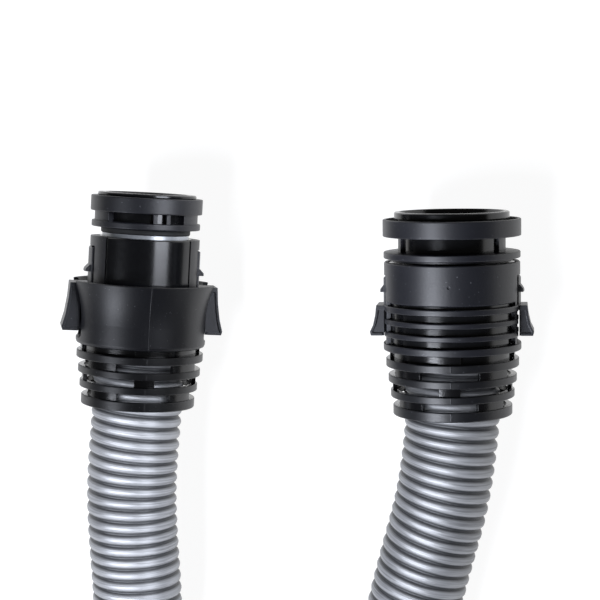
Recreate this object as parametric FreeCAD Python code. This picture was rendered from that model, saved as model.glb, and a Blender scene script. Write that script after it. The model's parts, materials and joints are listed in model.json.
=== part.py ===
import FreeCAD, Part
import math
import os

# Suction hose of a canister vacuum cleaner: a ribbed hose with a latching cuff at each end.
# Millimetres, +Z up. Origin on the ground, under the middle of the two cuffs. Both mouths point
# roughly along +Y, and the hose leaves towards -Y and lies on the ground in one round loop.
# Each cuff is modelled upright, from the lower end of its cage (z = 0) to its mouth, with a
# latch on each side (+X and -X), and is then laid down in its place.

# Hose
hose_r = 22.5
hose_bore_r = 19.0
rib_depth = 1.6
rib_count = 200
groove_share = 0.10
flank_share = 0.22

# Swivel sleeve, the same moulding at both ends
sleeve_bottom = 33.3
hose_stop_z = 50.0
stop_thickness = 2.0
socket_wall = 1.4
socket_gap = 0.1
sleeve_neck_wall = 2.35
spigot_step = 1.05
spigot_length = 9.0
o_ring_section = 1.6
o_ring_drop = 9.0
o_ring_squeeze = 0.3

# Clearances
running_gap = 0.05
seat_gap = 0.05
thrust_gap = 0.1

# Swivel bearing inside each barrel
slip_thickness = 1.0
snap_thickness = 1.2
snap_bite = 1.1
snap_inner_gap = 0.3
barrel_foot = 1.0

# Strain relief cage, the same moulding at both ends
cage_end_band = 4.7
cage_band = 3.5
cage_top_band = 3.85
cage_gap = 3.8
cage_neck_wall = 2.65
cage_recess_wall = 1.2
cage_shoulder = 1.8
cage_taper = 3.2
cage_wall = 3.0
post_inset = 0.9
front_post_deg = 20.0
corner_post_deg = 34.0
cage_neck_rise = 4.0
band_edge = 0.5
seam_deg = 91.4
seam_width_deg = 0.8
seam_stand = 0.12

# Latches, one on each side of a cuff
latch_half_width = 8.0
latch_slot = 1.2
tongue_thickness = 2.3
tongue_taper = 1.0
knuckle_r = 1.1
trunnion_r = 0.75
trunnion_bite = 1.4
pad_thickness = 1.2
cheek_thickness = 1.2
cheek_inset = 0.7
floor_setback = 0.9
bridge_height = 2.2
barb_height = 3.4
barb_half_width = 6.5
latch_top_gap = 1.6
tongue_crown = 0.4

# Cuff at the handle end
handle_neck_gap = 3.1
handle_collar_height = 31.4
handle_collar_foot_wall = 2.45
handle_collar_belly = 0.7
handle_collar_flare = 3.5
handle_collar_wall = 2.2
handle_rail_floor = 2.4
handle_barrel_wall = 2.85
handle_barrel_exposed = 22.1
handle_rail_deg = 80.0
handle_rail_stand = 0.1
handle_pocket_wall = 1.2
handle_band_gap = 1.65
handle_seal_height = 2.9
handle_nose_wall = 1.7
handle_low_flange = 3.1
handle_low_flange_depth = 4.75
handle_window = 4.65
handle_window_depth = 3.35
handle_flange = 7.6
handle_flange_depth = 5.5
handle_flange_wall = 2.0
handle_lip = 1.8
handle_lip_depth = 2.25
handle_mouth_step = 0.6
handle_mouth_chamfer = 1.2
handle_pivot_drop = 6.6
handle_pivot_rise = 1.3
handle_tongue_stand = 0.2
handle_barb_drop = 11.2
handle_barb_stand = 2.8
handle_pad_stand = 0.7
handle_pad_swell = 3.4
handle_bridge_drop = 1.2
handle_pad_drop = 24.8
handle_cheek_depth = 5.3
handle_slot_rise = 3.1
handle_cutout_half_width = 10.6

# Cuff at the machine end
machine_neck_gap = 3.95
machine_neck_step = 0.35
machine_low_band = 3.4
machine_band = 2.5
machine_top_band = 2.9
machine_band_gap = 3.4
machine_band_wall = 2.5
machine_barrel_gap = 1.45
machine_shell_wall = 2.0
machine_gate_r = 0.65
machine_gate_depth = 0.35
machine_gate_drop = 9.9
machine_barrel_exposed = 18.65
machine_liner_wall = 2.0
machine_pocket_depth = 3.4
machine_pocket_wall = 1.5
machine_frame_width = 2.4
frame_inset = 0.55
machine_band_clear = 1.7
machine_seal_height = 3.0
machine_seal_depth = 2.25
machine_nose_wall = 3.35
machine_low_flange = 3.05
machine_low_flange_depth = 8.45
machine_window = 7.2
machine_window_depth = 1.55
machine_post_wall = 1.5
machine_flange = 8.05
machine_flange_depth = 8.8
machine_flange_wall = 1.5
machine_trough = 2.6
machine_skirt = 1.25
machine_skirt_inset = 3.5
machine_skirt_wall = 1.6
machine_lip = 3.45
machine_lip_depth = 3.45
machine_nose_lip_wall = 1.8
machine_mouth_depth = 6.0
machine_mouth_flare = 3.0
machine_pivot_drop = 7.75
machine_pivot_rise = 2.6
machine_tongue_sink = 0.1
machine_barb_drop = 6.4
machine_barb_stand = 1.9
machine_pad_stand = 2.8
machine_pad_swell = 3.1
machine_bridge_drop = 0.2
machine_pad_drop = 14.5
machine_cheek_depth = 3.7
machine_slot_rise = 5.3

# Where the cuffs lie
handle_at = (-80.7, -52.15)
handle_lean_deg = 3.6
handle_pitch_deg = 1.0
handle_roll_deg = 26.6
handle_nose_roll_deg = 21.1
machine_at = (78.2, -51.9)
machine_lean_deg = -0.1
machine_pitch_deg = 3.0
machine_roll_deg = 7.3
machine_nose_roll_deg = 4.6

# Route of the hose's centre line: straight out of each cuff to these depths below its cage's
# lower end, then past these points, from the handle end round to the machine end
straight_mid = 15.0
straight_end = -1.5
hose_route = [
    (-84.2, -88.6, 34.2), (-84.4, -114.4, 33.0), (-82.5, -162.4, 28.2),
    (-91.2, -207.7, 23.6), (-111.5, -252.9, 22.5), (-144.9, -306.6, 22.5),
    (-173.9, -354.1, 22.5), (-208.2, -418.0, 22.5), (-216.6, -489.7, 22.5),
    (-198.3, -558.8, 22.5), (-156.6, -615.9, 22.5), (-97.5, -654.0, 22.5),
    (-29.1, -668.3, 22.5), (39.4, -657.3, 22.5), (99.3, -623.0, 22.5),
    (143.1, -569.9, 22.5), (165.3, -504.9, 22.5), (163.2, -435.9, 22.5),
    (136.6, -371.9, 22.5), (88.7, -321.2, 22.5), (61.7, -267.9, 22.5),
    (52.3, -211.0, 22.9), (54.4, -163.9, 24.9), (65.0, -123.1, 27.2),
    (72.9, -95.3, 28.6), (76.7, -69.8, 29.9),
]

# Where the hose is divided: the stretches that leave the cuffs, and the loop between them
handle_run_length = 215.0
machine_run_length = 215.0

vec = FreeCAD.Vector
up = vec(0, 0, 1)
origin = vec(0, 0, 0)


def disc(radius, z0, z1):
    return Part.makeCylinder(radius, z1 - z0, vec(0, 0, z0))


def ring(r_in, r_out, z0, z1):
    return disc(r_out, z0, z1).cut(disc(r_in, z0 - 1, z1 + 1))


def turned(points):
    """Solid of revolution about Z from a closed outline of (radius, z) points."""
    corners = [vec(r, 0, z) for r, z in points]
    outline = Part.makePolygon(corners + corners[:1])
    return Part.Face(outline).revolve(origin, up, 360)


def rounded_band(r_in, r_out, z0, z1, edge):
    """A flat hoop whose two outer edges are rounded."""
    mid = edge * (1 - math.sqrt(0.5))
    low_arc = Part.Arc(vec(r_out - edge, 0, z0), vec(r_out - mid, 0, z0 + mid),
                       vec(r_out, 0, z0 + edge)).toShape()
    high_arc = Part.Arc(vec(r_out, 0, z1 - edge), vec(r_out - mid, 0, z1 - mid),
                        vec(r_out - edge, 0, z1)).toShape()
    sides = [
        Part.makeLine(vec(r_in, 0, z0), vec(r_out - edge, 0, z0)),
        low_arc,
        Part.makeLine(vec(r_out, 0, z0 + edge), vec(r_out, 0, z1 - edge)),
        high_arc,
        Part.makeLine(vec(r_out - edge, 0, z1), vec(r_in, 0, z1)),
        Part.makeLine(vec(r_in, 0, z1), vec(r_in, 0, z0)),
    ]
    return Part.Face(Part.Wire(sides)).revolve(origin, up, 360)


def sector(r_in, r_out, z0, z1, middle_deg, width_deg):
    """Part of a ring, centred on an angle measured from +X."""
    wedge = Part.makeCylinder(r_out, z1 - z0, vec(0, 0, z0), up, width_deg)
    wedge = wedge.cut(disc(r_in, z0 - 1, z1 + 1))
    wedge.rotate(origin, up, middle_deg - width_deg / 2)
    return wedge


def side_block(x0, x1, half_width, z0, z1):
    return Part.makeBox(x1 - x0, 2 * half_width, z1 - z0, vec(x0, -half_width, z0))


def side_plate(points, y0, y1):
    """A plate with an outline of (x, z) points, from y0 to y1."""
    corners = [vec(x, y0, z) for x, z in points]
    face = Part.Face(Part.makePolygon(corners + corners[:1]))
    return face.extrude(vec(0, y1 - y0, 0))


def side_rod(x, z, radius, half_width):
    return Part.makeCylinder(radius, 2 * half_width, vec(x, -half_width, z), vec(0, 1, 0))


def join(shapes):
    return shapes[0].multiFuse(shapes[1:]).removeSplitter()


def turned_round(shape):
    other = shape.copy()
    other.rotate(origin, up, 180)
    return other


def both_sides(shape):
    """The shape at +X and its copy at -X."""
    return [shape, turned_round(shape)]


socket_r = hose_r + socket_gap
socket_outer_r = socket_r + socket_wall
sleeve_neck_r = hose_bore_r + sleeve_neck_wall
spigot_r = sleeve_neck_r - spigot_step
shoulder_z = hose_stop_z + stop_thickness
step_z = shoulder_z + 2 * thrust_gap + slip_thickness
barrel_bore_r = sleeve_neck_r + running_gap
barrel_socket_r = socket_outer_r + running_gap
snap_top = sleeve_bottom - thrust_gap
snap_bottom = snap_top - snap_thickness
snap_groove_r = barrel_socket_r + snap_bite
barrel_bottom = snap_bottom - barrel_foot

handle_barrel_r = barrel_socket_r + handle_barrel_wall
neck_bore_r = handle_barrel_r + seat_gap
cage_neck_r = neck_bore_r + cage_neck_wall
cage_top_r = cage_neck_r + cage_shoulder
cage_end_r = cage_top_r - cage_taper


def cage_levels():
    """Bottom, top and outer radius of each band, from the lower end up."""
    heights = [cage_end_band, cage_band, cage_band, cage_top_band]
    levels = []
    z = 0.0
    for number, height in enumerate(heights):
        share = number / (len(heights) - 1)
        radius = cage_end_r + (cage_top_r - cage_end_r) * share
        levels.append((z, z + height, radius))
        z += height + cage_gap
    return levels


cage_top = cage_levels()[-1][1]

handle_collar_bottom = cage_top + handle_neck_gap
handle_collar_top = handle_collar_bottom + handle_collar_height
handle_barrel_top = handle_collar_top + handle_barrel_exposed
handle_collar_foot_r = cage_neck_r + seat_gap + handle_collar_foot_wall
handle_collar_mid_r = handle_collar_foot_r + handle_collar_belly
handle_collar_rim_r = handle_collar_foot_r + handle_collar_flare
handle_web_low = step_z + handle_rail_floor
handle_web_top = handle_web_low + handle_collar_wall
handle_pocket_x = barrel_bore_r + handle_pocket_wall
handle_rail_outer_r = handle_barrel_r + handle_rail_stand
handle_nose_r = spigot_r + seat_gap + handle_nose_wall
handle_seal_r = handle_nose_r
handle_low_flange_r = handle_nose_r + handle_low_flange_depth
handle_window_r = handle_nose_r + handle_window_depth
handle_flange_r = handle_nose_r + handle_flange_depth
handle_lip_r = handle_nose_r + handle_lip_depth
handle_mouth_r = hose_bore_r + handle_mouth_step
handle_pivot_x = handle_pocket_x + handle_pivot_rise
handle_pivot_z = handle_barrel_top - handle_pivot_drop
handle_tongue_x = handle_rail_outer_r + handle_tongue_stand
handle_barb_r = handle_rail_outer_r + handle_barb_stand
handle_pad_top_x = handle_collar_rim_r + handle_pad_stand
handle_pad_low_x = handle_pad_top_x + handle_pad_swell
handle_pad_low = handle_collar_top - handle_pad_drop
handle_cheek_x = handle_pad_top_x - handle_cheek_depth
handle_slot_low = handle_collar_bottom + handle_slot_rise

machine_collar_bottom = cage_top + machine_neck_gap
machine_bands_top = (machine_collar_bottom + machine_low_band + 2 * machine_band
                     + machine_top_band + 3 * machine_band_gap)
machine_shell_bottom = machine_bands_top + machine_barrel_gap
machine_barrel_top = machine_shell_bottom + machine_barrel_exposed
machine_band_bore_r = cage_neck_r + seat_gap + machine_neck_step
machine_band_r = machine_band_bore_r + machine_band_wall
machine_shell_r = machine_band_bore_r + machine_shell_wall
machine_pocket_x = machine_band_bore_r - machine_pocket_depth
machine_nose_r = spigot_r + seat_gap + machine_nose_wall
machine_seal_r = spigot_r + seat_gap + machine_seal_depth
machine_low_flange_r = machine_nose_r + machine_low_flange_depth
machine_window_r = machine_nose_r + machine_window_depth
machine_flange_r = machine_nose_r + machine_flange_depth
machine_lip_r = machine_nose_r + machine_lip_depth
machine_nose_bore_r = machine_nose_r - machine_nose_lip_wall
machine_mouth_r = machine_nose_bore_r + machine_mouth_flare
machine_pivot_x = machine_pocket_x + machine_pivot_rise
machine_pivot_z = machine_barrel_top - machine_pivot_drop
machine_tongue_x = machine_shell_r - machine_tongue_sink
machine_barb_r = machine_shell_r + machine_barb_stand
machine_pad_top_x = machine_band_r + machine_pad_stand
machine_pad_low_x = machine_pad_top_x + machine_pad_swell
machine_pad_low = machine_bands_top - machine_pad_drop
machine_cheek_x = machine_pad_top_x - machine_cheek_depth
machine_slot_low = machine_collar_bottom + machine_slot_rise


def make_cage(collar_bottom):
    """Four hoops held apart by posts, with a neck that goes up into the collar."""
    bands = cage_levels()
    shapes = []
    for z0, z1, radius in bands:
        shapes.append(rounded_band(radius - cage_wall, radius, z0, z1, band_edge))
        shapes.append(sector(radius - 1, radius + seam_stand, z0 + band_edge, z1 - band_edge,
                             seam_deg, seam_width_deg))
    for number in range(len(bands) - 1):
        z0, z1 = bands[number][1], bands[number + 1][0]
        radius = bands[number][2]
        at_front = number == 1
        width = front_post_deg if at_front else corner_post_deg
        first = 0 if at_front else 45
        for quarter in range(4):
            shapes.append(sector(radius - cage_wall, radius - post_inset, z0 - 0.5, z1 + 0.5,
                                 first + 90 * quarter, width))
    for quarter in range(4):
        shapes.append(sector(neck_bore_r, cage_neck_r, cage_top - 0.5, collar_bottom + 0.5,
                             90 * quarter, front_post_deg))
    shapes.append(ring(neck_bore_r, neck_bore_r + cage_recess_wall, cage_top - 0.5, collar_bottom + 0.5))
    shapes.append(ring(neck_bore_r, cage_neck_r, collar_bottom, collar_bottom + cage_neck_rise))
    inner_flare = turned([(cage_top_r - cage_wall, cage_top - cage_top_band),
                          (cage_top_r - band_edge, cage_top - cage_top_band + 1),
                          (cage_top_r - band_edge, cage_top),
                          (neck_bore_r, cage_top)])
    shapes.append(inner_flare)
    return join(shapes)


def make_sleeve(top):
    """Swivel sleeve: a socket for the hose below, a smooth neck, and a spigot for the nose."""
    body = turned([(hose_bore_r, hose_stop_z), (socket_r, hose_stop_z), (socket_r, sleeve_bottom),
                   (socket_outer_r, sleeve_bottom), (socket_outer_r, shoulder_z),
                   (sleeve_neck_r, shoulder_z), (sleeve_neck_r, top), (spigot_r, top),
                   (spigot_r, top + spigot_length), (hose_bore_r, top + spigot_length)])
    groove_z = top - o_ring_drop
    depth = o_ring_section - o_ring_squeeze
    groove = ring(sleeve_neck_r - depth, sleeve_neck_r + 1, groove_z - o_ring_section / 2,
                  groove_z + o_ring_section / 2)
    return body.cut(groove)


def make_o_ring(top):
    """Rotary seal: fills its groove up to the sleeve's own surface."""
    half = o_ring_section / 2 - seat_gap
    depth = o_ring_section - o_ring_squeeze
    return rounded_band(sleeve_neck_r - depth, sleeve_neck_r, top - o_ring_drop - half,
                        top - o_ring_drop + half, half / 2)


def make_slip_ring():
    return ring(barrel_bore_r + seat_gap, barrel_socket_r - seat_gap, shoulder_z + thrust_gap,
                step_z - thrust_gap)


def make_snap_ring():
    """Split ring in the barrel's lower groove, which holds the sleeve in."""
    hoop = ring(hose_r + snap_inner_gap, snap_groove_r - seat_gap, snap_bottom, snap_top)
    gap = side_block(hose_r, snap_groove_r + 1, 3.0, snap_bottom - 1, snap_top + 1)
    gap.rotate(origin, up, 45)
    return hoop.cut(gap)


def barrel_bore():
    """Everything that is bored out of a barrel for the sleeve, the slip ring and the snap ring."""
    return join([disc(barrel_bore_r, barrel_bottom - 1, 200), disc(barrel_socket_r, barrel_bottom - 1, step_z),
                 disc(snap_groove_r, snap_bottom - seat_gap, snap_top + seat_gap)])


def slot_cutter(top, low, x0, x1, half):
    """Window for a latch: a slot with rounded lower corners."""
    block = side_block(x0, x1, half, low, top)
    corners = [edge for edge in block.Edges
               if abs(edge.BoundBox.ZMax - low) < 0.01 and edge.BoundBox.XLength > 1]
    return block.makeFillet(2.5, corners)


def make_latch(pivot_x, pivot_z, tongue_x, tongue_r, barb_z, barb_r, bridge_top,
               pad_top_x, pad_low_x, pad_low, cheek_x):
    """Latch at +X: a tongue on two trunnions, with a barb, a bridge and a finger pad."""
    inner_x = tongue_x - tongue_thickness
    bridge_low = bridge_top - bridge_height
    tongue = side_plate([(inner_x + tongue_taper, bridge_low), (tongue_x + 1, bridge_low),
                         (tongue_x + 1, pivot_z), (inner_x, pivot_z)],
                        -latch_half_width, latch_half_width)
    knuckle = side_rod(pivot_x, pivot_z, knuckle_r, latch_half_width)
    root = side_plate([(pivot_x, pivot_z - knuckle_r), (pivot_x, pivot_z + knuckle_r),
                       (tongue_x - 0.6, pivot_z + knuckle_r - 0.2), (tongue_x + 1, pivot_z - 0.6),
                       (tongue_x + 1, pivot_z - 3.0), (inner_x, pivot_z - 2.2)],
                      -latch_half_width, latch_half_width)
    blade = join([tongue, root, knuckle]).common(disc(tongue_r, bridge_low - 1, pivot_z + 2 * knuckle_r))
    barb = side_plate([(tongue_x - 1.0, barb_z + barb_height), (tongue_x, barb_z + barb_height),
                       (barb_r + 0.6, barb_z), (tongue_x - 1.0, barb_z)],
                      -barb_half_width, barb_half_width)
    barb = barb.common(disc(barb_r, barb_z - 1, barb_z + barb_height + 1))
    bridge = side_block(inner_x + tongue_taper, pad_top_x - pad_thickness / 2, latch_half_width,
                        bridge_low, bridge_top)
    third = (bridge_top - pad_low) / 3
    swell = pad_low_x - pad_top_x
    pad_outer = [(pad_top_x, bridge_top), (pad_top_x + 0.17 * swell, bridge_top - third),
                 (pad_top_x + 0.52 * swell, bridge_top - 2 * third), (pad_low_x, pad_low + 1.8),
                 (pad_low_x - 0.5, pad_low)]
    pad_inner = [(x - pad_thickness, z) for x, z in reversed(pad_outer)]
    pad = side_plate(pad_outer + pad_inner, -latch_half_width, latch_half_width)
    floor = side_block(cheek_x + floor_setback, pad_low_x - 0.9, latch_half_width,
                       pad_low, pad_low + cheek_thickness)
    cheek_outline = [(cheek_x, bridge_low + 0.2), (cheek_x, pad_low)]
    cheek_outline += [(x - pad_thickness / 2, z) for x, z in reversed(pad_outer)]
    cheek_face = latch_half_width - cheek_inset
    cheeks = [side_plate(cheek_outline, -cheek_face, cheek_thickness - cheek_face),
              side_plate(cheek_outline, cheek_face - cheek_thickness, cheek_face)]
    reach = latch_half_width + trunnion_bite + latch_slot - seat_gap
    trunnions = side_rod(pivot_x, pivot_z, trunnion_r, reach)
    return join([blade, barb, bridge, pad, floor] + cheeks + [trunnions])


def trunnion_holes(pivot_x, pivot_z):
    return side_rod(pivot_x, pivot_z, trunnion_r + running_gap,
                    latch_half_width + latch_slot + trunnion_bite)


def make_handle_barrel():
    """Glossy tube with a wide flat-bottomed pocket on each side for the collar's rails."""
    tube = turned([(sleeve_neck_r - 2, barrel_bottom), (handle_barrel_r, barrel_bottom),
                   (handle_barrel_r, handle_barrel_top - 0.6),
                   (handle_barrel_r - 0.6, handle_barrel_top), (sleeve_neck_r - 2, handle_barrel_top)])
    tube = tube.cut(barrel_bore())
    for side in both_sides(sector(handle_pocket_x, handle_barrel_r + 2, handle_web_low,
                                  handle_barrel_top + 1, 0, handle_rail_deg + 4)):
        tube = tube.cut(side)
    return tube


def collar_outline():
    """Outer line of the handle end's collar, from its foot to its rim."""
    z0 = handle_collar_bottom
    return [(handle_collar_foot_r - 1.5, z0), (handle_collar_foot_r - 0.4, z0 + 0.5),
            (handle_collar_foot_r, z0 + 1.6)]


def make_handle_collar():
    """Trumpet-shaped shell with a web inside it and two rails that run up the barrel."""
    z0, z1 = handle_collar_bottom, handle_collar_top
    start_z = z0 + 0.36 * handle_collar_height
    mid_z = z0 + 0.63 * handle_collar_height
    inner = handle_collar_wall
    bore = cage_neck_r + seat_gap
    foot = collar_outline()
    flare = Part.Arc(vec(handle_collar_foot_r, 0, start_z), vec(handle_collar_mid_r, 0, mid_z),
                     vec(handle_collar_rim_r, 0, z1 - 0.4)).toShape()
    back = Part.Arc(vec(handle_collar_rim_r - inner, 0, z1), vec(handle_collar_mid_r - inner, 0, mid_z),
                    vec(bore, 0, start_z)).toShape()
    edges = [Part.makeLine(vec(bore, 0, z0), vec(foot[0][0], 0, foot[0][1]))]
    for (r_a, z_a), (r_b, z_b) in zip(foot, foot[1:] + [(handle_collar_foot_r, start_z)]):
        edges.append(Part.makeLine(vec(r_a, 0, z_a), vec(r_b, 0, z_b)))
    edges += [flare,
              Part.makeLine(vec(handle_collar_rim_r, 0, z1 - 0.4), vec(handle_collar_rim_r - 0.4, 0, z1)),
              Part.makeLine(vec(handle_collar_rim_r - 0.4, 0, z1), vec(handle_collar_rim_r - inner, 0, z1)),
              back, Part.makeLine(vec(bore, 0, start_z), vec(bore, 0, z0))]
    profile = Part.Face(Part.Wire(edges))
    shell = profile.revolve(origin, up, 360)
    seam = profile.translated(vec(seam_stand, 0, 0)).revolve(origin, up, seam_width_deg)
    seam.rotate(origin, up, seam_deg)
    trumpet = turned([(0, start_z), (handle_collar_foot_r - inner / 2, start_z),
                      (handle_collar_mid_r - inner / 2, mid_z), (handle_collar_rim_r - inner / 2, z1),
                      (0, z1)])
    web = ring(handle_barrel_r + seat_gap, handle_collar_rim_r, handle_web_low, handle_web_top)
    rails = both_sides(sector(handle_pocket_x + seat_gap, handle_rail_outer_r, handle_web_low + seat_gap,
                              handle_barrel_top - 0.3, 0, handle_rail_deg))
    joints = both_sides(sector(handle_barrel_r - 1, handle_collar_rim_r, handle_web_low + seat_gap,
                               handle_web_top, 0, handle_rail_deg))
    body = join([shell, seam, web.common(trumpet)] + rails + [joint.common(trumpet) for joint in joints])
    window = slot_cutter(handle_pivot_z + latch_top_gap, handle_slot_low, handle_pocket_x - 3,
                         handle_collar_rim_r + 4, latch_half_width + latch_slot)
    cutout = slot_cutter(z1 + 1, handle_slot_low, handle_rail_outer_r, handle_collar_rim_r + 4,
                         handle_cutout_half_width)
    holes = trunnion_holes(handle_pivot_x, handle_pivot_z)
    for cutter in both_sides(window) + both_sides(cutout) + both_sides(holes):
        body = body.cut(cutter)
    return body


def make_handle_latch():
    return make_latch(handle_pivot_x, handle_pivot_z, handle_tongue_x, handle_tongue_x + tongue_crown,
                      handle_pivot_z - handle_barb_drop, handle_barb_r,
                      handle_collar_top - handle_bridge_drop,
                      handle_pad_top_x, handle_pad_low_x, handle_pad_low, handle_cheek_x)


def make_machine_barrel():
    """Glossy liner: a thin outer tube, a bearing tube inside it, and webs and pockets between."""
    liner_r = machine_band_bore_r - seat_gap
    foot_top = machine_collar_bottom + cage_neck_rise
    spigot = ring(hose_bore_r, neck_bore_r - seat_gap, barrel_bottom, foot_top + 2)
    outer = ring(liner_r - machine_liner_wall, liner_r, foot_top + seat_gap, machine_barrel_top - 0.4)
    bearing = ring(hose_bore_r, barrel_socket_r + machine_liner_wall, foot_top, machine_barrel_top - 0.4)
    webs = [ring(hose_bore_r, liner_r, foot_top + seat_gap, foot_top + 2),
            ring(hose_bore_r, liner_r, machine_barrel_top - 2.4, machine_barrel_top - 0.4)]
    half = latch_half_width + latch_slot + 0.4
    top_z = machine_pivot_z + latch_top_gap
    wall = machine_pocket_wall
    boxes = both_sides(side_block(machine_pocket_x - wall, liner_r, half + wall, foot_top + seat_gap,
                                  top_z + 0.6 + wall).common(disc(liner_r, foot_top, machine_barrel_top)))
    body = join([spigot, outer, bearing] + webs + boxes).cut(barrel_bore())
    for pocket in both_sides(side_block(machine_pocket_x, liner_r + 1, half, foot_top + 2, top_z + 0.6)):
        body = body.cut(pocket)
    return body


def machine_band_levels():
    heights = [machine_low_band, machine_band, machine_band, machine_top_band]
    levels = []
    z = machine_collar_bottom
    for height in heights:
        levels.append((z, z + height))
        z += height + machine_band_gap
    return levels


def machine_shell_outline():
    """The plain barrel above the hoops, as an outline of (radius, z)."""
    z0, z1 = machine_shell_bottom, machine_barrel_top
    edge = band_edge
    return [(machine_band_bore_r, z0), (machine_shell_r - edge, z0), (machine_shell_r, z0 + edge),
            (machine_shell_r, z1 - edge), (machine_shell_r - edge, z1), (machine_band_bore_r, z1)]


def make_machine_collar():
    """Matt shell: a plain barrel above, four hoops below, and frames beside the latches."""
    bore = machine_band_bore_r
    shapes = [turned(machine_shell_outline())]
    for z0, z1 in machine_band_levels():
        shapes.append(rounded_band(bore, machine_band_r, z0, z1, band_edge))
    half = latch_half_width + latch_slot
    bottom = machine_collar_bottom + frame_inset
    top = machine_shell_bottom + frame_inset
    reach = ring(bore + frame_inset / 2, machine_band_r - frame_inset, bottom, top)
    for y0 in (half, -half - machine_frame_width):
        frame = Part.makeBox(2 * machine_band_r, machine_frame_width, top - bottom,
                             vec(-machine_band_r, y0, bottom))
        shapes.append(frame.common(reach))
    body = join(shapes)
    window = slot_cutter(machine_pivot_z + latch_top_gap, machine_slot_low, machine_pocket_x,
                         machine_band_r + 4, latch_half_width + latch_slot)
    holes = trunnion_holes(machine_pivot_x, machine_pivot_z)
    gate = Part.makeCylinder(machine_gate_r, 2, vec(0, machine_shell_r - machine_gate_depth,
                                                    machine_barrel_top - machine_gate_drop), vec(0, 1, 0))
    for cutter in both_sides(window) + both_sides(holes) + [gate]:
        body = body.cut(cutter)
    return body


def make_machine_latch():
    return make_latch(machine_pivot_x, machine_pivot_z, machine_tongue_x, machine_tongue_x + tongue_crown,
                      machine_pivot_z - machine_barb_drop, machine_barb_r,
                      machine_bands_top - machine_bridge_drop,
                      machine_pad_top_x, machine_pad_low_x, machine_pad_low, machine_cheek_x)


def make_mouth_ring(z0, low_h, low_r, window_h, post_radii, flange_h, flange_r, wall, trough, nose_r,
                    posts):
    """Flange at the mouth, a row of windows under it, and a lower flange."""
    z1 = z0 + low_h
    z2 = z1 + window_h
    z3 = z2 + flange_h
    bore = nose_r + seat_gap
    hub = bore + wall
    low = rounded_band(bore, low_r, z0, z1, band_edge)
    rim = rounded_band(flange_r - wall, flange_r, z2, z3, band_edge)
    top = ring(bore, flange_r - wall / 2, z3 - trough - wall, z3 - trough)
    inner = ring(bore, hub, z2, z3)
    shapes = [low, rim, top, inner]
    for middle_deg, width_deg in posts:
        shapes.append(sector(post_radii[0], post_radii[1], z1 - 0.5, z3 - 0.5, middle_deg, width_deg))
    return join(shapes)


def make_nose(z0, z1, lip_h, lip_r, nose_r, bore_r, mouth_r, mouth_depth, joint_top):
    """Nose tube: sits on the sleeve's spigot below and ends in the lip of the mouth."""
    joint_r = spigot_r + seat_gap
    return turned([(joint_r, z0), (nose_r, z0), (nose_r, z1), (lip_r - 0.4, z1), (lip_r, z1 + 0.4),
                   (lip_r, z1 + lip_h - 0.5), (lip_r - 0.5, z1 + lip_h), (mouth_r, z1 + lip_h),
                   (bore_r, z1 + lip_h - mouth_depth), (bore_r, joint_top), (joint_r, joint_top)])


def cuff_frame(at, lean_deg, pitch_deg, roll_deg, lift):
    """Placement that lays an upright cuff down with its mouth towards +Y."""
    lean, pitch, roll = (math.radians(a) for a in (lean_deg, pitch_deg, roll_deg))
    axis = vec(math.sin(lean) * math.cos(pitch), math.cos(lean) * math.cos(pitch), math.sin(pitch))
    side = axis.cross(up).normalize()
    front = side.cross(axis).normalize()
    rolled = front * math.cos(roll) + side * math.sin(roll)
    across = rolled.cross(axis).normalize()
    matrix = FreeCAD.Matrix(across.x, rolled.x, axis.x, at[0],
                            across.y, rolled.y, axis.y, at[1],
                            across.z, rolled.z, axis.z, lift, 0, 0, 0, 1)
    return FreeCAD.Placement(matrix)


def resting_height(corners, pitch_deg):
    """Height of the cage's lower end when a round body with these (radius, z) corners lies down."""
    pitch = math.radians(pitch_deg)
    return max(r * math.cos(pitch) - z * math.sin(pitch) for r, z in corners)


def route_points(handle_place, machine_place):
    """Points that steer the hose, from the handle end's stop to the machine end's."""
    depths = [hose_stop_z, straight_mid, straight_end]
    points = [handle_place.multVec(vec(0, 0, z)) for z in depths]
    points += [vec(*p) for p in hose_route]
    points += [machine_place.multVec(vec(0, 0, z)) for z in reversed(depths)]
    return points


def route_curve(points):
    count = len(points)
    curve = Part.BSplineCurve()
    mults = [3] + [1] * (count - 3) + [3]
    curve.buildFromPolesMultsKnots(points, mults, list(range(count - 1)), False, 2)
    return curve


def circle_at(curve, distance, radius):
    """Circle square to the route, always started at its upper side."""
    total = curve.length()
    distance = min(max(distance, 0.0), total)
    if distance >= total - 1e-6:
        parameter = curve.LastParameter
    elif distance <= 1e-6:
        parameter = curve.FirstParameter
    else:
        parameter = curve.parameterAtDistance(distance, curve.FirstParameter)
    centre = curve.value(parameter)
    tangent = curve.tangent(parameter)[0]
    start = (up - tangent * up.dot(tangent)).normalize()
    across = tangent.cross(start).normalize()
    matrix = FreeCAD.Matrix(start.x, across.x, tangent.x, centre.x,
                            start.y, across.y, tangent.y, centre.y,
                            start.z, across.z, tangent.z, centre.z, 0, 0, 0, 1)
    circle = Part.Wire(Part.makeCircle(radius, origin, up))
    circle.transformShape(matrix)
    return circle


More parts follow.
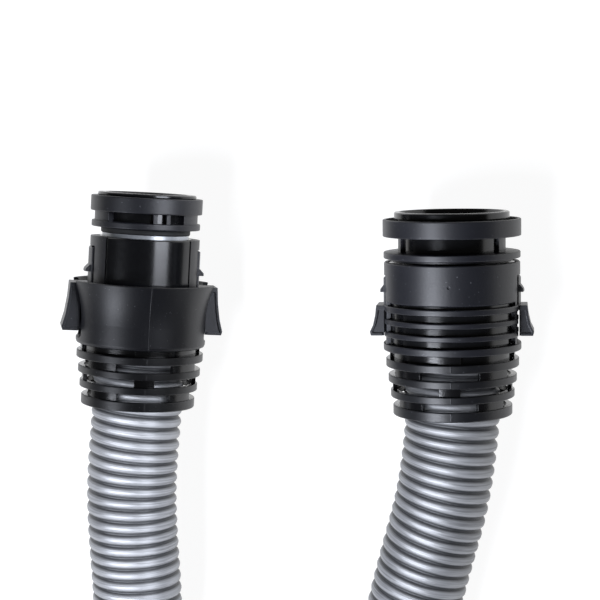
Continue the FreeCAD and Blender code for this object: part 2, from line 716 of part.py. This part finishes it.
def ribbed_hose(curve, start, end, ribs):
    """One stretch of hose: ribs of four circles each outside, a plain bore inside."""
    pitch = (end - start) / ribs
    root_r = hose_r - rib_depth
    outside = []
    inside = []
    for number in range(ribs):
        at = start + pitch * number
        outside.append(circle_at(curve, at, root_r))
        outside.append(circle_at(curve, at + pitch * groove_share, root_r))
        outside.append(circle_at(curve, at + pitch * (groove_share + flank_share), hose_r))
        outside.append(circle_at(curve, at + pitch * (1 - flank_share), hose_r))
        inside.append(circle_at(curve, at, hose_bore_r))
    outside.append(circle_at(curve, end, root_r))
    inside.append(circle_at(curve, end, hose_bore_r))
    outer = Part.makeLoft(outside, False, True)
    inner = Part.makeLoft(inside, False, True)
    caps = [Part.makeFace([outside[i], inside[i]], "Part::FaceMakerBullseye") for i in (0, -1)]
    shell = Part.makeShell(outer.Faces + inner.Faces + caps)
    shell.sewShape()
    solid = Part.makeSolid(shell)
    if solid.Volume < 0:
        solid.reverse()
    return solid


def bend_report(curve):
    """Prints the route's length, its tightest bend and its height range."""
    total = curve.length()
    tightest = 1e9
    heights = []
    for number in range(1, 400):
        parameter = curve.parameterAtDistance(total * number / 400, curve.FirstParameter)
        bend = curve.curvature(parameter)
        heights.append(curve.value(parameter).z)
        if bend > 1e-9:
            tightest = min(tightest, 1 / bend)
    print("hose centre line %.1f mm, tightest radius %.1f mm, centre height %.2f to %.2f mm"
          % (total, tightest, min(heights), max(heights)))


def steering_report(points):
    print("route points:")
    for p in points:
        print("    (%.1f, %.1f, %.1f)," % (p.x, p.y, p.z))


def make_parts():
    parts = {}
    cage_corners = [(radius, z) for z0, z1, radius in cage_levels() for z in (z0, z1)]

    handle_seal_bottom = handle_barrel_top + handle_band_gap
    handle_ring_bottom = handle_seal_bottom + handle_seal_height
    handle_lip_bottom = handle_ring_bottom + handle_low_flange + handle_window + handle_flange
    handle_corners = cage_corners + [
        (handle_collar_rim_r, handle_collar_top - 0.4),
        (handle_flange_r, handle_lip_bottom - band_edge),
    ]
    lift = resting_height(handle_corners, handle_pitch_deg)
    handle_cuff = cuff_frame(handle_at, handle_lean_deg, handle_pitch_deg, handle_roll_deg, lift)
    handle_nose = cuff_frame(handle_at, handle_lean_deg, handle_pitch_deg, handle_nose_roll_deg, lift)

    machine_sleeve_top = machine_barrel_top + machine_band_clear - machine_seal_height / 2
    machine_ring_bottom = machine_barrel_top + machine_band_clear
    machine_lip_bottom = (machine_ring_bottom + machine_low_flange + machine_window
                          + machine_flange)
    machine_corners = cage_corners + [
        (machine_band_r, machine_collar_bottom + band_edge),
        (machine_flange_r, machine_lip_bottom - band_edge),
    ]
    lift = resting_height(machine_corners, machine_pitch_deg)
    machine_cuff = cuff_frame(machine_at, machine_lean_deg, machine_pitch_deg, machine_roll_deg, lift)
    machine_nose = cuff_frame(machine_at, machine_lean_deg, machine_pitch_deg, machine_nose_roll_deg, lift)

    def put(name, shape, placement):
        placed = shape.copy()
        placed.transformShape(placement.toMatrix())
        parts[name] = placed

    put("handle_sleeve", make_sleeve(handle_seal_bottom), handle_nose)
    put("handle_o_ring", make_o_ring(handle_seal_bottom), handle_nose)
    put("handle_seal_ring", rounded_band(spigot_r + seat_gap, handle_seal_r, handle_seal_bottom,
                                         handle_ring_bottom, 0.8), handle_nose)
    handle_posts = [(0, 88), (180, 88), (100, 4.6), (115, 4.6), (280, 4.6), (295, 4.6)]
    put("handle_mouth_ring",
        make_mouth_ring(handle_ring_bottom, handle_low_flange, handle_low_flange_r, handle_window,
                        (handle_nose_r + seat_gap, handle_window_r), handle_flange,
                        handle_flange_r, handle_flange_wall, 0.0,
                        handle_nose_r, handle_posts), handle_nose)
    put("handle_nose_tube",
        make_nose(handle_ring_bottom, handle_lip_bottom, handle_lip, handle_lip_r, handle_nose_r,
                  handle_mouth_r, handle_mouth_r + handle_mouth_chamfer, handle_mouth_chamfer,
                  handle_seal_bottom + spigot_length + seat_gap), handle_nose)
    put("handle_barrel", make_handle_barrel(), handle_cuff)
    put("handle_collar", make_handle_collar(), handle_cuff)
    put("handle_cage", make_cage(handle_collar_bottom), handle_cuff)
    latch = make_handle_latch()
    put("handle_latch_a", latch, handle_cuff)
    put("handle_latch_b", turned_round(latch), handle_cuff)
    put("handle_slip_ring", make_slip_ring(), handle_cuff)
    put("handle_snap_ring", make_snap_ring(), handle_cuff)

    put("machine_sleeve", make_sleeve(machine_sleeve_top), machine_nose)
    put("machine_o_ring", make_o_ring(machine_sleeve_top), machine_nose)
    put("machine_seal_ring", rounded_band(spigot_r + seat_gap, machine_seal_r, machine_sleeve_top,
                                          machine_sleeve_top + machine_seal_height, 0.8), machine_nose)
    machine_walls = [(0, 50), (180, 50)]
    mouth_ring = make_mouth_ring(machine_ring_bottom, machine_low_flange, machine_low_flange_r,
                                 machine_window, (machine_window_r - machine_post_wall, machine_window_r),
                                 machine_flange, machine_flange_r, machine_flange_wall, machine_trough,
                                 machine_nose_r, machine_walls)
    skirt_r = machine_low_flange_r - machine_skirt_inset
    skirt = ring(skirt_r - machine_skirt_wall, skirt_r, machine_ring_bottom - machine_skirt,
                 machine_ring_bottom + 0.5)
    put("machine_mouth_ring", join([mouth_ring, skirt]), machine_nose)
    put("machine_nose_tube",
        make_nose(machine_sleeve_top + machine_seal_height, machine_lip_bottom, machine_lip,
                  machine_lip_r, machine_nose_r, machine_nose_bore_r, machine_mouth_r,
                  machine_mouth_depth, machine_sleeve_top + spigot_length + seat_gap), machine_nose)
    put("machine_barrel", make_machine_barrel(), machine_cuff)
    put("machine_collar", make_machine_collar(), machine_cuff)
    put("machine_cage", make_cage(machine_collar_bottom), machine_cuff)
    latch = make_machine_latch()
    put("machine_latch_a", latch, machine_cuff)
    put("machine_latch_b", turned_round(latch), machine_cuff)
    put("machine_slip_ring", make_slip_ring(), machine_cuff)
    put("machine_snap_ring", make_snap_ring(), machine_cuff)

    points = route_points(handle_cuff, machine_cuff)
    steering_report(points)
    curve = route_curve(points)
    bend_report(curve)
    total = curve.length()
    stretches = [("hose_handle_run", 0.0, handle_run_length),
                 ("hose_loop", handle_run_length, total - machine_run_length),
                 ("hose_machine_run", total - machine_run_length, total)]
    for name, start, end in stretches:
        ribs = int(rib_count * (end - start) / total)
        parts[name] = ribbed_hose(curve, start, end, ribs)
        print(name, "ribs", ribs)
    return parts


os.makedirs("parts", exist_ok=True)
for node, shape in make_parts().items():
    box = shape.BoundBox
    print("%-20s valid %s solids %d volume %.0f  x %.1f..%.1f y %.1f..%.1f z %.2f..%.2f"
          % (node, shape.isValid(), len(shape.Solids), shape.Volume, box.XMin, box.XMax,
             box.YMin, box.YMax, box.ZMin, box.ZMax))
    shape.exportStep("parts/%s.step" % node)
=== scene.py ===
import bisect
import json
import math

import bmesh
import bpy
from mathutils import Matrix, Vector

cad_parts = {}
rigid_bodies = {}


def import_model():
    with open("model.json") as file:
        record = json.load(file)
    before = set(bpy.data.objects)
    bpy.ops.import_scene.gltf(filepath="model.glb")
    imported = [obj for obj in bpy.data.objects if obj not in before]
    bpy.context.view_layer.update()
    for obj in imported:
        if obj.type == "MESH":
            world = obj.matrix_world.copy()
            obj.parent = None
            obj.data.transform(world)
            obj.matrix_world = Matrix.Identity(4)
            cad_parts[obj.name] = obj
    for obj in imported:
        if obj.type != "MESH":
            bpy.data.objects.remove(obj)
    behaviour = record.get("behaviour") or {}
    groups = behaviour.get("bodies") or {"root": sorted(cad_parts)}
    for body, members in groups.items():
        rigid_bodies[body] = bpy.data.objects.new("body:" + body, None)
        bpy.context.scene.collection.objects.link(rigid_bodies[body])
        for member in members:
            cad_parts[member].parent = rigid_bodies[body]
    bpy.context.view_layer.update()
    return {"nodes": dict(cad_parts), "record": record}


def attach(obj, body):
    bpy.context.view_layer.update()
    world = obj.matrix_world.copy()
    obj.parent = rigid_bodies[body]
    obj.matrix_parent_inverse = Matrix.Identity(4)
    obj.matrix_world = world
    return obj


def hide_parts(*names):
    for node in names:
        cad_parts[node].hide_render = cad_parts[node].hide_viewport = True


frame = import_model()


def hexColour(text):
    # sRGB hex to the linear colour that a shader socket takes
    channels = [int(text[i:i + 2], 16) / 255 for i in (1, 3, 5)]
    return [c / 12.92 if c <= 0.04045 else ((c + 0.055) / 1.055) ** 2.4 for c in channels] + [1.0]


def addNode(material, kind, inputs=None, **settings):
    # one shader node with its settings, and each input set or linked
    node = material.node_tree.nodes.new("ShaderNode" + kind)
    for name, value in settings.items():
        setattr(node, name, value)
    for name, value in (inputs or {}).items():
        if isinstance(value, bpy.types.NodeSocket):
            material.node_tree.links.new(value, node.inputs[name])
        else:
            node.inputs[name].default_value = value
    return node


def newMaterial(name):
    material = bpy.data.materials.new(name)
    material.use_nodes = True
    material.node_tree.nodes.clear()
    return material


def finishMaterial(material, inputs):
    # the shader itself and the output, with the constant values on its own sockets
    shader = addNode(material, "BsdfPrincipled", inputs)
    addNode(material, "OutputMaterial", {"Surface": shader.outputs[0]})
    return material


def addNoise(m, vector, scale, detail, extra=None, **settings):
    # fractal noise with so many waves to the metre
    inputs = {"Vector": vector, "Scale": scale, "Detail": detail, **(extra or {})}
    return addNode(m, "TexNoise", inputs, **settings).outputs["Fac"]


def mixColours(m, share, first, second):
    # first where share is 0, second where it is 1; each a socket or a hex colour
    ends = [hexColour(end) if isinstance(end, str) else end for end in (first, second)]
    return addNode(m, "Mix", {0: share, 6: ends[0], 7: ends[1]}, data_type="RGBA").outputs[2]


def remap(m, value, low, high, start=0.0, end=1.0):
    # low to high becomes start to end, held at both ends
    return addNode(m, "MapRange", {"Value": value, "From Min": low, "From Max": high,
                                   "To Min": start, "To Max": end}).outputs[0]


def bumped(m, height, strength, distance, normal=None):
    # the normal bent by a relief, on top of another normal if one is given
    inputs = {"Height": height, "Strength": strength, "Distance": distance}
    if normal is not None:
        inputs["Normal"] = normal
    return addNode(m, "Bump", inputs).outputs[0]


def calculate(m, operation, *values):
    return addNode(m, "Math", dict(enumerate(values)), operation=operation).outputs[0]


def vectorMath(m, operation, *values, output="Vector", **named):
    inputs = {**dict(enumerate(values)), **named}
    return addNode(m, "VectorMath", inputs, operation=operation).outputs[output]


def objectPlace(m):
    return addNode(m, "TexCoord").outputs["Object"]


def addObject(name, bm, material, body=None):
    # turns a finished bmesh into an object at the origin that rides on its body
    mesh = bpy.data.meshes.new(name)
    bm.to_mesh(mesh)
    bm.free()
    mesh.materials.append(material)
    thing = bpy.data.objects.new(name, mesh)
    bpy.context.scene.collection.objects.link(thing)
    if body:
        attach(thing, body)
    return thing


# the camera, from the photograph: nearly overhead, leaning in from the right
view = {
    "place": (0.21103, 0.04155, 0.78089), "target": (0.0004, 0.0003, 0.0225),
    "lens": 96.0, "sensor": 36, "clipStart": 0.05,
}


def facing(place, target):
    # stands at place and looks at target, with its top towards +Y
    back = (Vector(place) - Vector(target)).normalized()
    right = Vector((0, 1, 0)).cross(back).normalized()
    turn = Matrix((right, back.cross(right), back)).transposed().to_4x4()
    return Matrix.Translation(place) @ turn


def makeCamera():
    data = bpy.data.cameras.new("camera")
    data.lens = view["lens"]
    data.sensor_width = view["sensor"]
    data.clip_start = view["clipStart"]
    camera = bpy.data.objects.new("camera", data)
    bpy.context.scene.collection.objects.link(camera)
    camera.matrix_world = facing(view["place"], view["target"])
    bpy.context.scene.camera = camera


makeCamera()
print("camera placed")

# the hose is one tube, with one helical rib all the way along
hose = {
    "diameter": 0.045, "bore": 0.038, "length": 1.605,
    "pitch": 0.005856,      # one rib, measured on the photograph's grooves
    "depth": 0.0016,        # groove depth
    "around": 36,           # faces around the tube
    "boreRows": 130,        # faces along the bore
    "lineSteps": 14,        # points of the line for each control point
    "weld": 2e-6,           # points nearer than this become one
    "rimReach": 0.002,      # an open edge no farther than this outside the tube is its rim
    # share of the pitch, share of the rib's height: groove floor, flank, rounded crest
    "profile": [(0.0, 0.0), (0.085, 0.06), (0.16, 0.47), (0.26, 0.79), (0.42, 0.98),
                (0.58, 0.98), (0.74, 0.79), (0.84, 0.47), (0.915, 0.06)],
}
# control points of its line in metres, the same as the route in the part's source
route = [
    (-0.077557, -0.002256, 0.035402), (-0.079755, -0.037182, 0.034791),
    (-0.080791, -0.053647, 0.034503),
    (-0.0842, -0.0886, 0.0342), (-0.0844, -0.1144, 0.0330), (-0.0825, -0.1624, 0.0282),
    (-0.0912, -0.2077, 0.0236), (-0.1115, -0.2529, 0.0225), (-0.1449, -0.3066, 0.0225),
    (-0.1739, -0.3541, 0.0225), (-0.2082, -0.4180, 0.0225), (-0.2166, -0.4897, 0.0225),
    (-0.1983, -0.5588, 0.0225), (-0.1566, -0.6159, 0.0225), (-0.0975, -0.6540, 0.0225),
    (-0.0291, -0.6683, 0.0225), (0.0394, -0.6573, 0.0225), (0.0993, -0.6230, 0.0225),
    (0.1431, -0.5699, 0.0225), (0.1653, -0.5049, 0.0225), (0.1632, -0.4359, 0.0225),
    (0.1366, -0.3719, 0.0225), (0.0887, -0.3212, 0.0225), (0.0617, -0.2679, 0.0225),
    (0.0523, -0.2110, 0.0229), (0.0544, -0.1639, 0.0249), (0.0650, -0.1231, 0.0272),
    (0.0729, -0.0953, 0.0286), (0.0767, -0.0698, 0.0299), (0.078203, -0.053398, 0.030734),
    (0.078174, -0.036921, 0.031597), (0.078113, -0.001969, 0.033429),
]


def readRoute():
    # the smooth line that the control points give, as a run of close points
    curve = bpy.data.curves.new("hoseLine", "CURVE")
    curve.dimensions = "3D"
    curve.resolution_u = hose["lineSteps"]
    spline = curve.splines.new("NURBS")
    spline.points.add(len(route) - 1)
    for point, place in zip(spline.points, route):
        point.co = (*place, 1)
    spline.order_u = 3
    spline.use_endpoint_u = True
    holder = bpy.data.objects.new("hoseLine", curve)
    bpy.context.scene.collection.objects.link(holder)
    bpy.context.view_layer.update()
    mesh = bpy.data.meshes.new_from_object(holder)
    line = [vertex.co.copy() for vertex in mesh.vertices]
    bpy.data.objects.remove(holder)
    bpy.data.curves.remove(curve)
    bpy.data.meshes.remove(mesh)
    return line


def makeHose(material):
    # the whole tube as one mesh, with a helical rib outside and a smooth bore
    line = readRoute()
    along = [0.0]
    for a, b in zip(line, line[1:]):
        along.append(along[-1] + (b - a).length)
    total = along[-1]
    tangents = [(line[min(i + 1, len(line) - 1)] - line[max(i - 1, 0)]).normalized()
                for i in range(len(line))]

    def place(distance, angle, radius):
        i = min(max(bisect.bisect_right(along, distance) - 1, 0), len(line) - 2)
        share = (distance - along[i]) / (along[i + 1] - along[i])
        tangent = tangents[i].lerp(tangents[i + 1], share).normalized()
        side = tangent.cross(Vector((0, 0, 1))).normalized()
        upward = side.cross(tangent)
        centre = line[i].lerp(line[i + 1], share)
        return centre + radius * (math.cos(angle) * upward + math.sin(angle) * side)

    outer = hose["diameter"] / 2
    around = hose["around"]
    profile = hose["profile"]
    rows = len(profile) * (math.ceil(total / hose["pitch"]) + 1)

    bm = bmesh.new()
    groove = bm.verts.layers.float.new("groove")
    across = bm.verts.layers.float.new("across")
    # the ribbed outside: a flat grid wound on, each row one step up the helix
    bmesh.ops.create_grid(bm, x_segments=around, y_segments=rows, size=1)
    for vertex in bm.verts:
        column = round((vertex.co.x + 1) / 2 * around)
        row = round((vertex.co.y + 1) / 2 * rows)
        share, height = profile[row % len(profile)]
        turn = column / around
        distance = hose["pitch"] * (row // len(profile) + share - turn)
        if not 0 < distance < total:
            distance = min(max(distance, 0), total)
            height = 0
        vertex.co = place(distance, 2 * math.pi * turn, outer - hose["depth"] * (1 - height))
        vertex[groove] = 1 - height
        vertex[across] = share * hose["pitch"]
    outside = set(bm.verts)
    # the smooth bore
    bmesh.ops.create_grid(bm, x_segments=around, y_segments=hose["boreRows"], size=1)
    for vertex in bm.verts:
        if vertex not in outside:
            turn = round((vertex.co.x + 1) / 2 * around) / around
            distance = (vertex.co.y + 1) / 2 * total
            vertex.co = place(distance, 2 * math.pi * turn, hose["bore"] / 2)
            # the bore takes the full painted groove shade
            vertex[groove] = 1
    bmesh.ops.remove_doubles(bm, verts=bm.verts, dist=hose["weld"])
    for tip in (line[0], line[-1]):
        rim = [e for e in bm.edges
               if e.is_boundary and (e.verts[0].co - tip).length < outer + hose["rimReach"]]
        bmesh.ops.bridge_loops(bm, edges=rim)
    bmesh.ops.recalc_face_normals(bm, faces=bm.faces)
    for face in bm.faces:
        face.smooth = True
    print("hose faces", len(bm.faces), "line", round(total, 4), "m, rows", rows)
    tube = addObject("hoseTube", bm, material, "hose")
    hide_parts("hose_handle_run", "hose_loop", "hose_machine_run")
    return tube


vinyl = {
    # the groove colour is painted shade, laid in the grooves and the bore
    "dark": "#808183", "light": "#969799", "flowLine": "#3f4042", "groove": "#242527",
    "roughness": (0.36, 0.50), "metallic": 0.45,
    "lineWaves": 1700.0,        # flow lines of the mould, 0.6 mm apart
    "lineStretch": 0.02,        # and fifty times as long, along the rib
    # where a shade starts and where it is full, and its share at both
    "lineShade": (0.44, 0.64, 0.0, 0.5),
    "paintedGrooveShade": (0.20, 0.80, 0.0, 0.9),
    "lineRelief": (0.6, 0.00025), "flakeRelief": (0.25, 0.00004),
}


def pearlVinyl():
    # EVA hose, blow moulded with aluminium flake: satin, soft pearl, with painted shade darkening
    # the grooves
    m = newMaterial("blowMouldedPearlVinyl")
    where = objectPlace(m)
    inGroove = addNode(m, "Attribute", attribute_name="groove").outputs["Fac"]
    acrossRib = addNode(m, "Attribute", attribute_name="across").outputs["Fac"]
    slowly = vectorMath(m, "SCALE", where, Scale=vinyl["lineStretch"])
    lines = addNoise(m, slowly, vinyl["lineWaves"], 2.0, {"W": acrossRib, "Roughness": 0.6},
                     noise_dimensions="4D")
    # flake 0.15 mm, drawn at 0.5 mm so that it shows
    flake = addNoise(m, where, 2000.0, 2.0)
    cloud = addNoise(m, where, 55.0, 3.0)
    colour = mixColours(m, cloud, vinyl["dark"], vinyl["light"])
    colour = mixColours(m, remap(m, lines, *vinyl["lineShade"]), colour, vinyl["flowLine"])
    # painted shade: grooves and bore darkened nearly to black by their depth
    colour = mixColours(m, remap(m, inGroove, *vinyl["paintedGrooveShade"]), colour, vinyl["groove"])
    rough = remap(m, flake, 0.0, 1.0, *vinyl["roughness"])
    ridges = bumped(m, lines, *vinyl["lineRelief"])
    return finishMaterial(m, {"Base Color": colour, "Roughness": rough,
                              "Metallic": vinyl["metallic"],
                              "Normal": bumped(m, flake, *vinyl["flakeRelief"], ridges)})


# the two cages: foot of the cuff's axis and its direction, from the part's source
cages = {
    "handle": {"foot": (-0.0807, -0.05215, 0.034529), "along": (0.062781, 0.997875, 0.017452)},
    "machine": {"foot": (0.0782, -0.0519, 0.030812), "along": (-0.001743, 0.998628, 0.052336)},
}
cageTaper = {
    "radius": 0.02787, "slope": 0.141,      # outer radius of the hoops at the foot, and its growth
    "recess": 0.0005, "step": 0.0002,       # how far under it the posts start, and how suddenly
}


def cageRecess(m, where, cage):
    # 1 on posts and neck, which lie under the hoops' own taper, 0 on the hoops' outer faces
    offset = vectorMath(m, "SUBTRACT", where, cage["foot"])
    height = vectorMath(m, "DOT_PRODUCT", offset, cage["along"], output="Value")
    axis = vectorMath(m, "SCALE", cage["along"], Scale=height)
    radius = vectorMath(m, "LENGTH", vectorMath(m, "SUBTRACT", offset, axis), output="Value")
    hoop = calculate(m, "MULTIPLY_ADD", height, cageTaper["slope"], cageTaper["radius"])
    under = calculate(m, "SUBTRACT", hoop, radius)
    return remap(m, under, cageTaper["recess"], cageTaper["recess"] + cageTaper["step"])


moulded = {
    "ior": 1.53,
    "edge": 0.0004,         # radius that every moulded edge has
    "edgeWearAndHighlight": "#4a4c50", "dust": "#8d8f94",
    # where a shade starts and where it is full, and its share at both
    "edgeWearAndHighlightShade": (0.99, 0.86, 0.0, 0.5), "dustShade": (0.735, 0.78, 0.0, 0.3),
    "grainRelief": (0.35, 0.00008), "grainSpread": 0.06,
    "polishedDarkAndRecessShade": "#0b0b0d", "polishedLight": "#111214",
    "polishedRoughness": (0.14, 0.22), "polishedPost": 0.2, "rippleRelief": (0.15, 0.0001),
}


def roundedNormal(m):
    # the surface's normal with every edge rounded off
    return addNode(m, "Bevel", {"Radius": moulded["edge"]}, samples=6).outputs[0]


def grainedAbs(name, dark, light, roughness, cage=None):
    # ABS from a spark-eroded mould: matt charcoal, even grain, edges a little brighter as rubbed
    # wear and painted highlight, dust
    m = newMaterial(name)
    where = objectPlace(m)
    # grain 0.2 mm, drawn at 0.8 mm so that it shows
    grain = addNoise(m, where, 1250.0, 3.0, {"Roughness": 0.6})
    cloud = addNoise(m, where, 70.0, 4.0)
    fluff = addNoise(m, where, 900.0, 1.0)
    rounded = roundedNormal(m)
    flat = addNode(m, "NewGeometry").outputs["Normal"]
    together = vectorMath(m, "DOT_PRODUCT", rounded, flat, output="Value")
    colour = mixColours(m, cloud, dark, light)
    # edges a little brighter: rubbed wear, and a painted highlight along the rims
    colour = mixColours(m, remap(m, together, *moulded["edgeWearAndHighlightShade"]), colour, moulded["edgeWearAndHighlight"])
    colour = mixColours(m, remap(m, fluff, *moulded["dustShade"]), colour, moulded["dust"])
    spread = moulded["grainSpread"]
    rough = remap(m, grain, 0.0, 1.0, roughness - spread, roughness + spread)
    if cage:
        paintedRecessShade = cageRecess(m, where, cage)
        # painted shade: posts and neck under the hoops coloured near black, as the shade in those
        # recesses
        colour = mixColours(m, paintedRecessShade, colour, moulded["polishedDarkAndRecessShade"])
        rough = addNode(m, "Mix", {0: paintedRecessShade, 2: rough, 3: moulded["polishedPost"]}).outputs[0]
    return finishMaterial(m, {"Base Color": colour, "Roughness": rough, "IOR": moulded["ior"],
                              "Normal": bumped(m, grain, *moulded["grainRelief"], rounded)})


def polishedAbs():
    # ABS from a polished mould: near black and glossy, faint ripple, fine handling haze
    m = newMaterial("polishedBlackAbs")
    where = objectPlace(m)
    ripple = addNoise(m, where, 120.0, 2.0)
    haze = addNoise(m, where, 400.0, 5.0)
    colour = mixColours(m, haze, moulded["polishedDarkAndRecessShade"], moulded["polishedLight"])
    rough = remap(m, haze, 0.0, 1.0, *moulded["polishedRoughness"])
    bump = bumped(m, ripple, *moulded["rippleRelief"], roundedNormal(m))
    return finishMaterial(m, {"Base Color": colour, "Roughness": rough, "IOR": moulded["ior"],
                              "Normal": bump})


def mottled(name, scale, detail, colours, roughness, constants):
    # a plain moulded material whose colour and roughness follow one noise
    m = newMaterial(name)
    mottle = addNoise(m, objectPlace(m), scale, detail)
    return finishMaterial(m, {"Base Color": mixColours(m, mottle, *colours),
                              "Roughness": remap(m, mottle, 0.0, 1.0, *roughness), **constants})


finishes = {
    "charcoal_plastic": grainedAbs("sparkErodedCharcoalAbs", "#17181d", "#1f2026", 0.42),
    "gloss_black": polishedAbs(),
    # silver pearl ABS of the swivel sleeve: smooth satin moulding with fine flake
    "silver_plastic": mottled("mouldedPearlAbs", 2500.0, 2.0, ("#a9acb0", "#c9ccd0"), (0.24, 0.34),
                              {"Metallic": 0.35}),
    # moulded nitrile rubber: matt, soft sheen, faint bloom
    "rubber_black": mottled("mouldedNitrileRubber", 300.0, 4.0, ("#131314", "#1f2021"),
                            (0.55, 0.75), {"IOR": 1.52}),
    # acetal rings of the bearing: milky off-white, slippery satin
    "acetal_ring": mottled("naturalAcetal", 200.0, 2.0, ("#d9d8d2", "#e6e5e0"), (0.3, 0.4),
                           {"IOR": 1.48}),
    "silver_hose": pearlVinyl(),
}
makeHose(finishes["silver_hose"])

slotOf = {part["node"]: part["material_slot"] for part in frame["record"]["subparts"]}
# nothing silver shows at the machine cuff
slotOf["machine_sleeve"] = "gloss_black"
# each cage has a finish of its own: charcoal darker than on the other pieces as painted shade, matt
# on its hoops and glossy on the posts under them, with painted shade there
for end, cage in cages.items():
    slotOf[end + "_cage"] = end + "_cage"
    # painted shade: the cages' charcoal is darker than on the other pieces
    finishes[end + "_cage"] = grainedAbs(end + "CageShadedCharcoalAbs", "#0f1013", "#15161a", 0.40, cage)
for name, node in frame["nodes"].items():
    for entry in node.material_slots:
        entry.material = finishes[slotOf[name]]
print("finishes on", len(frame["nodes"]), "pieces")

# the floor, the lamps and the white around them
# a lamp lights only the pieces whose names begin with one of the words in its "on"
glossyHandle = ("handle_barrel", "handle_nose", "handle_mouth", "handle_s", "handle_latch")
glossyMachine = ("machine_barrel", "machine_nose", "machine_s", "machine_cage", "machine_latch",
                 "floor")
fromRight = {"place": (1.36, 0.26, 1.00), "aim": (-0.08, 0.02, 0.03), "size": (0.92, 0.94)}
room = {
    "floorRadius": 12.0,
    "floorColour": "#747474",   # grey paper, most of whose white is its glow
    "floorRoughness": 0.9,
    "floorGlow": 0.925,
    "floorPlace": (0, -0.3, -0.0002),   # a little under the lowest point of the piece
    "wall": (0.10, 0.02),       # heights between which the low white wall fades in
    "dim": 0.045,
    "lampColour": (0.94, 0.98, 1.08),
    "lamps": {
        # place, point aimed at, size across and along the picture, and what it lights
        "leftSoftboxFar": {"place": (-0.85, -0.66, 1.25), "aim": (-0.85, -0.66, 0.0),
                           "size": (0.60, 0.80), "watts": 16.0, "on": ("handle",)},
        "leftSoftbox": {"place": (-0.49, -0.79, 1.30), "aim": (-0.49, -0.79, 0.0),
                        "size": (0.60, 0.94), "watts": 45.0, "on": glossyMachine},
        "hoseSoftbox": {"place": (-0.54, -0.53, 1.30), "aim": (-0.54, -0.53, 0.0),
                        "size": (2.00, 1.46), "watts": 74.0, "on": ("hose",)},
        "leftSoftboxMatt": {"place": (-0.49, -0.70, 1.30), "aim": (-0.49, -0.70, 0.0),
                            "size": (0.60, 0.94), "watts": 44.0,
                            "on": ("machine_collar", "machine_mouth")},
        "rightSoftbox": {**fromRight, "watts": 27.0, "on": glossyHandle},
        "rightFill": {**fromRight, "watts": 5.5, "on": ("handle_collar", "handle_cage", "floor")},
        "hoseFill": {**fromRight, "watts": 3.0, "on": ("hose",)},
        # a strip that stands between the two runs of the hose and faces the left one
        "hoseStrip": {"place": (0.015, -0.14, 0.10), "aim": (-0.085, -0.14, 0.05),
                      "size": (0.06, 0.34), "watts": 0.3, "on": ("hose",)},
    },
}


def seenDirectly(owner):
    # 1 for camera, glossy and transmission rays, 0 for light that falls on other things
    path = addNode(owner, "LightPath").outputs
    seen = path["Is Camera Ray"]
    for other in ("Is Glossy Ray", "Is Transmission Ray"):
        seen = calculate(owner, "MAXIMUM", seen, path[other])
    return seen


def makeFloor():
    m = newMaterial("whitePaperFloor")
    glow = calculate(m, "MULTIPLY", seenDirectly(m), room["floorGlow"])
    finishMaterial(m, {"Base Color": hexColour(room["floorColour"]),
                       "Roughness": room["floorRoughness"], "Specular IOR Level": 0.0,
                       "Emission Color": (1, 1, 1, 1), "Emission Strength": glow})
    bm = bmesh.new()
    bmesh.ops.create_circle(bm, cap_ends=True, segments=64, radius=room["floorRadius"])
    floor = addObject("floor", bm, m)
    floor.data.transform(Matrix.Translation(room["floorPlace"]))


def makeWorld():
    world = bpy.data.worlds.new("whiteRoom")
    bpy.context.scene.world = world
    world.use_nodes = True
    world.node_tree.nodes.clear()
    # a low white wall all round, a dim room over it
    direction = addNode(world, "TexCoord").outputs["Generated"]
    height = addNode(world, "SeparateXYZ", {0: direction}).outputs["Z"]
    wall = remap(world, height, *room["wall"])
    both = calculate(world, "MULTIPLY", seenDirectly(world), wall)
    strength = remap(world, both, 0.0, 1.0, room["dim"], 1.0)
    glow = addNode(world, "Background", {"Color": (1, 1, 1, 1), "Strength": strength})
    addNode(world, "OutputWorld", {"Surface": glow.outputs[0]})


def makeLamps():
    for name, lamp in room["lamps"].items():
        data = bpy.data.lights.new(name, "AREA")
        data.shape = "RECTANGLE"
        data.size, data.size_y = lamp["size"]
        data.energy = lamp["watts"]
        data.color = room["lampColour"]
        thing = bpy.data.objects.new(name, data)
        bpy.context.scene.collection.objects.link(thing)
        thing.matrix_world = facing(lamp["place"], lamp["aim"])
        thing.visible_camera = False
        lit = bpy.data.collections.new(name + "Lit")
        for piece in list(bpy.context.scene.objects):
            if piece.type == "MESH" and piece.name.startswith(lamp["on"]):
                lit.objects.link(piece)
        thing.light_linking.receiver_collection = lit


makeFloor()
makeWorld()
makeLamps()
bpy.context.scene.view_settings.view_transform = "Standard"
print("floor, room and lamps ready")
